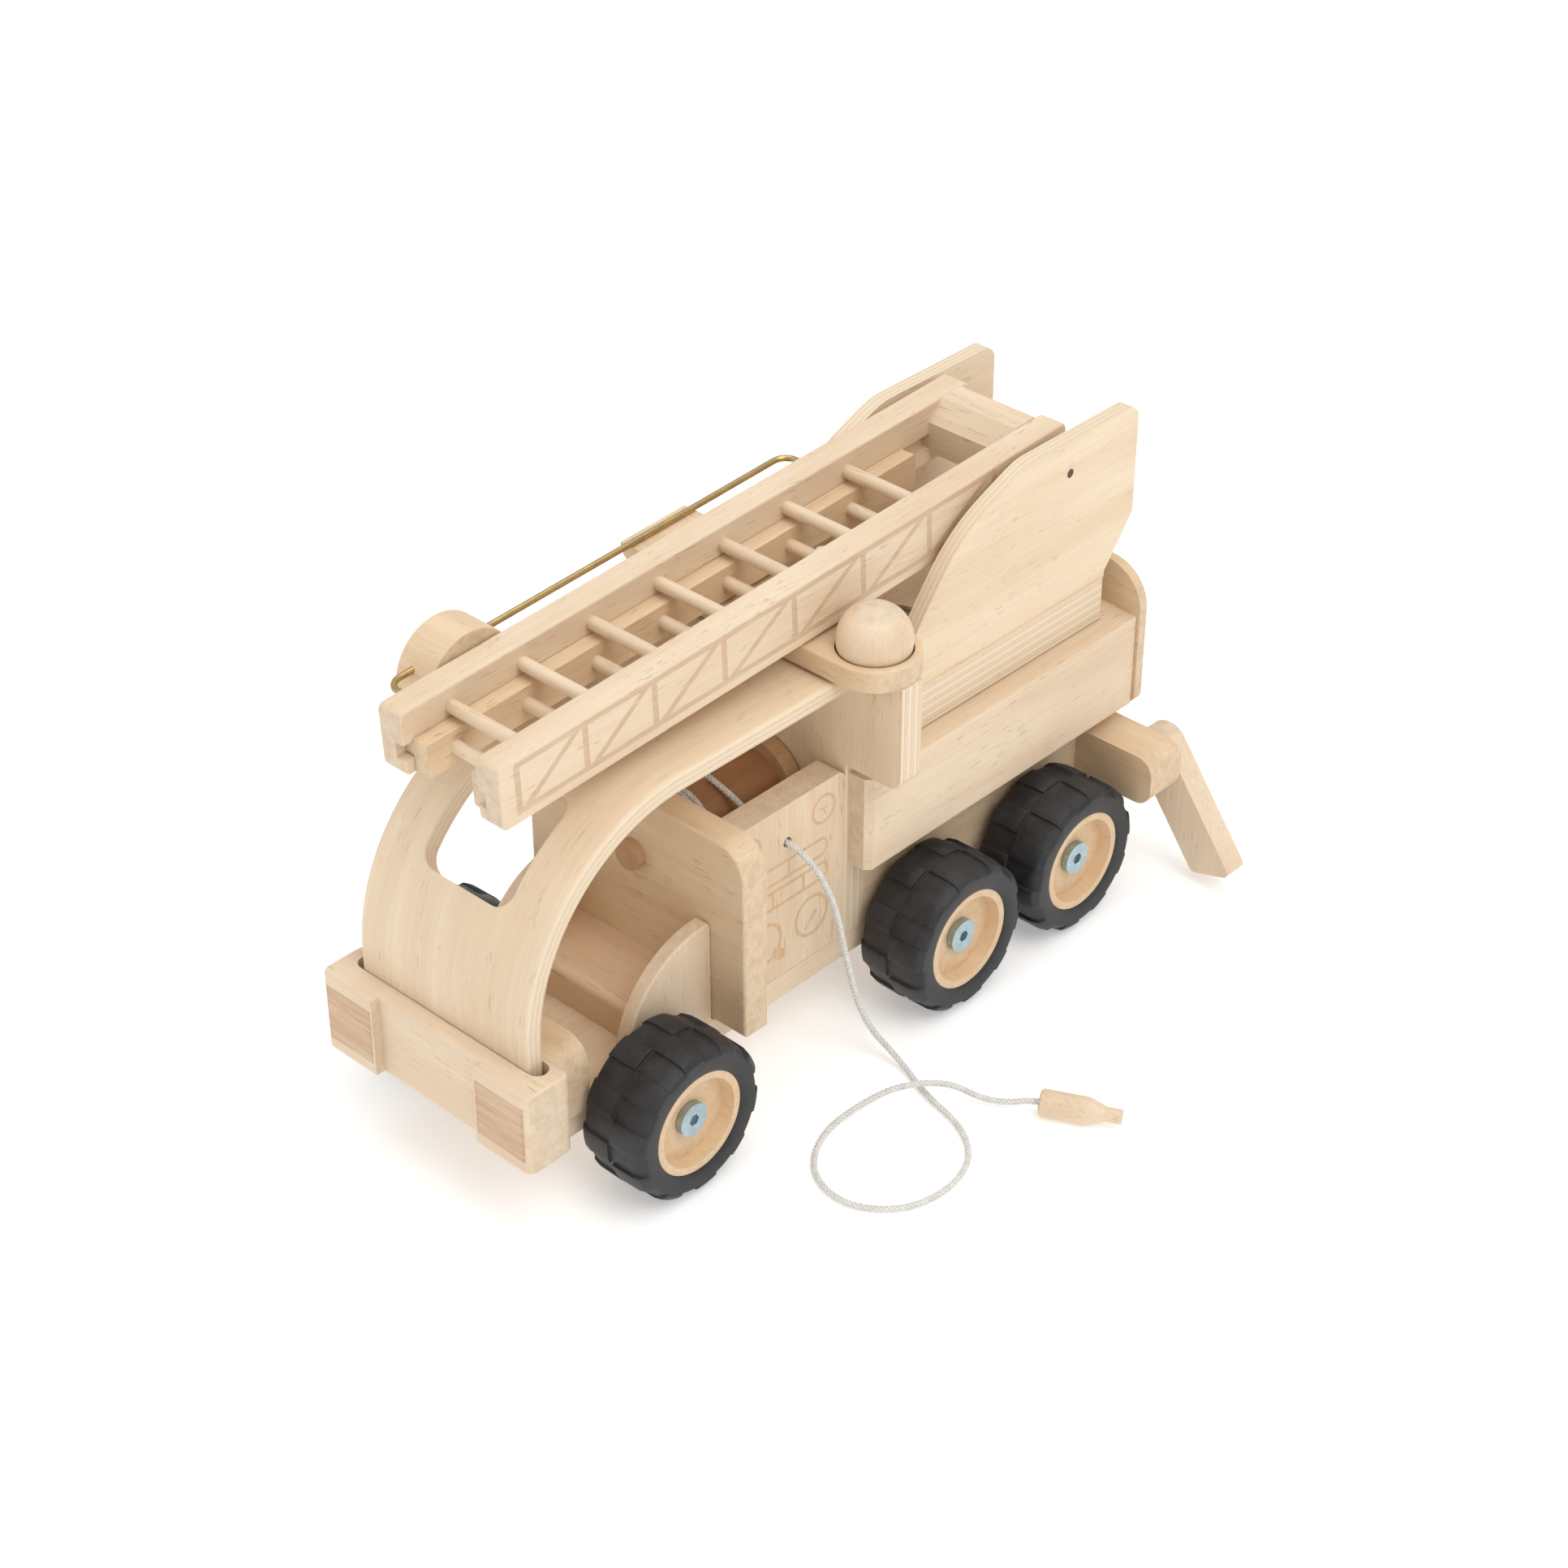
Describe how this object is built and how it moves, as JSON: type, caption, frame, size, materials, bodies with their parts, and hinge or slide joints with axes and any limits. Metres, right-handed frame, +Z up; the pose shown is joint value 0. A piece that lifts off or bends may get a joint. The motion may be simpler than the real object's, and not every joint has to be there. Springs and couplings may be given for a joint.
{
  "type": "toy fire engine",
  "caption": "Wooden toy fire engine with open bent-wood cab, side outriggers, winding hose reel, and a swivelling, lifting, extending ladder.",
  "frame": {"origin": "on the ground under the middle of the vehicle, legs out and hose left aside", "axes": "+Z up, -Y towards the front of the vehicle, +X towards its left side, where the hose comes out"},
  "size_m": [0.3203, 0.4158, 0.2404],
  "materials": {
    "rubberwood": "satin",
    "turned_wood": "satin",
    "plywood": "satin",
    "stained_wood": "satin",
    "rubber": "matte",
    "zinc_steel": "satin",
    "brass_wire": "satin",
    "braided_cord": "matte"
  },
  "bodies": {
    "vehicle": {"bulkhead": "plywood", "bumper": "rubberwood", "cab_roof": "plywood", "cab_wall": "rubberwood", "chassis": "rubberwood", "deck": "rubberwood", "fender_left": "rubberwood", "fender_right": "rubberwood", "frame_board_left": "rubberwood", "frame_board_right": "rubberwood", "front_beam": "rubberwood", "hose": "braided_cord", "hose_nozzle": "rubberwood", "lamp": "rubberwood", "leg_pins": "rubberwood", "light_bar": "rubberwood", "outrigger_beam": "rubberwood", "panel_left": "rubberwood", "panel_right": "rubberwood", "pivot_bolt": "zinc_steel", "plank_left": "rubberwood", "plank_right": "rubberwood", "rear_plate": "rubberwood", "seat": "rubberwood", "wheel_bolts": "zinc_steel", "wheel_spacers": "zinc_steel"},
    "turret": {"turret_base": "plywood", "turret_side_left": "plywood", "turret_side_right": "plywood", "ladder_pin": "zinc_steel"},
    "ladder": {"ladder_rail_left": "rubberwood", "ladder_rail_right": "rubberwood", "ladder_rungs": "rubberwood", "ladder_end_block": "rubberwood", "wire_rail": "brass_wire", "wire_rest": "rubberwood"},
    "slide_ladder": {"slide_rail_left": "rubberwood", "slide_rail_right": "rubberwood", "slide_rungs": "rubberwood", "pull_cord": "braided_cord"},
    "wire_slider": {"wire_block": "rubberwood"},
    "reel": {"reel_axle": "rubberwood", "reel_flange_front": "rubberwood", "reel_flange_rear": "rubberwood", "reel_drum": "stained_wood", "hose_turns": "braided_cord"},
    "leg_left": {"outrigger_leg_left": "rubberwood"},
    "leg_right": {"outrigger_leg_right": "rubberwood"},
    "wheel_front_left": {"tyre_front_left": "rubber", "hub_front_left": "turned_wood"},
    "wheel_front_right": {"tyre_front_right": "rubber", "hub_front_right": "turned_wood"},
    "wheel_middle_left": {"tyre_middle_left": "rubber", "hub_middle_left": "turned_wood"},
    "wheel_middle_right": {"tyre_middle_right": "rubber", "hub_middle_right": "turned_wood"},
    "wheel_rear_left": {"tyre_rear_left": "rubber", "hub_rear_left": "turned_wood"},
    "wheel_rear_right": {"tyre_rear_right": "rubber", "hub_rear_right": "turned_wood"}
  },
  "joints": [
    {"name": "wheel_front_left_spin", "type": "hinge", "parent": "vehicle", "child": "wheel_front_left", "pos_m": [0.0695, -0.1303, 0.038], "axis": [1, 0, 0], "continuous": true},
    {"name": "wheel_front_right_spin", "type": "hinge", "parent": "vehicle", "child": "wheel_front_right", "pos_m": [-0.0695, -0.1303, 0.038], "axis": [1, 0, 0], "continuous": true},
    {"name": "wheel_middle_left_spin", "type": "hinge", "parent": "vehicle", "child": "wheel_middle_left", "pos_m": [0.0695, 0.0466, 0.038], "axis": [1, 0, 0], "continuous": true},
    {"name": "wheel_middle_right_spin", "type": "hinge", "parent": "vehicle", "child": "wheel_middle_right", "pos_m": [-0.0695, 0.0466, 0.038], "axis": [1, 0, 0], "continuous": true},
    {"name": "wheel_rear_left_spin", "type": "hinge", "parent": "vehicle", "child": "wheel_rear_left", "pos_m": [0.0695, 0.1295, 0.038], "axis": [1, 0, 0], "continuous": true},
    {"name": "wheel_rear_right_spin", "type": "hinge", "parent": "vehicle", "child": "wheel_rear_right", "pos_m": [-0.0695, 0.1295, 0.038], "axis": [1, 0, 0], "continuous": true},
    {"name": "reel_spin", "type": "hinge", "parent": "vehicle", "child": "reel", "pos_m": [0, -0.035, 0.112], "axis": [0, 1, 0], "continuous": true},
    {"name": "turret_swivel", "type": "hinge", "parent": "vehicle", "child": "turret", "pos_m": [0, 0.092, 0.143], "axis": [0, 0, 1], "range_deg": [-90, 2.5]},
    {"name": "ladder_lift", "type": "hinge", "parent": "turret", "child": "ladder", "pos_m": [0, 0.155, 0.2219], "axis": [-1, 0, 0], "range_deg": [0, 70]},
    {"name": "ladder_extend", "type": "slide", "parent": "ladder", "child": "slide_ladder", "axis": [0, -0.999, -0.0445], "range_m": [0, 0.13]},
    {"name": "wire_slide", "type": "slide", "parent": "ladder", "child": "wire_slider", "axis": [0, 0.999, 0.0445], "range_m": [0, 0.08]},
    {"name": "leg_left_fold", "type": "hinge", "parent": "vehicle", "child": "leg_left", "pos_m": [0.0754, 0.2014, 0.063], "axis": [0, -1, 0], "range_deg": [0, 140]},
    {"name": "leg_right_fold", "type": "hinge", "parent": "vehicle", "child": "leg_right", "pos_m": [-0.0754, 0.2014, 0.063], "axis": [0, 1, 0], "range_deg": [0, 140]}
  ]
}
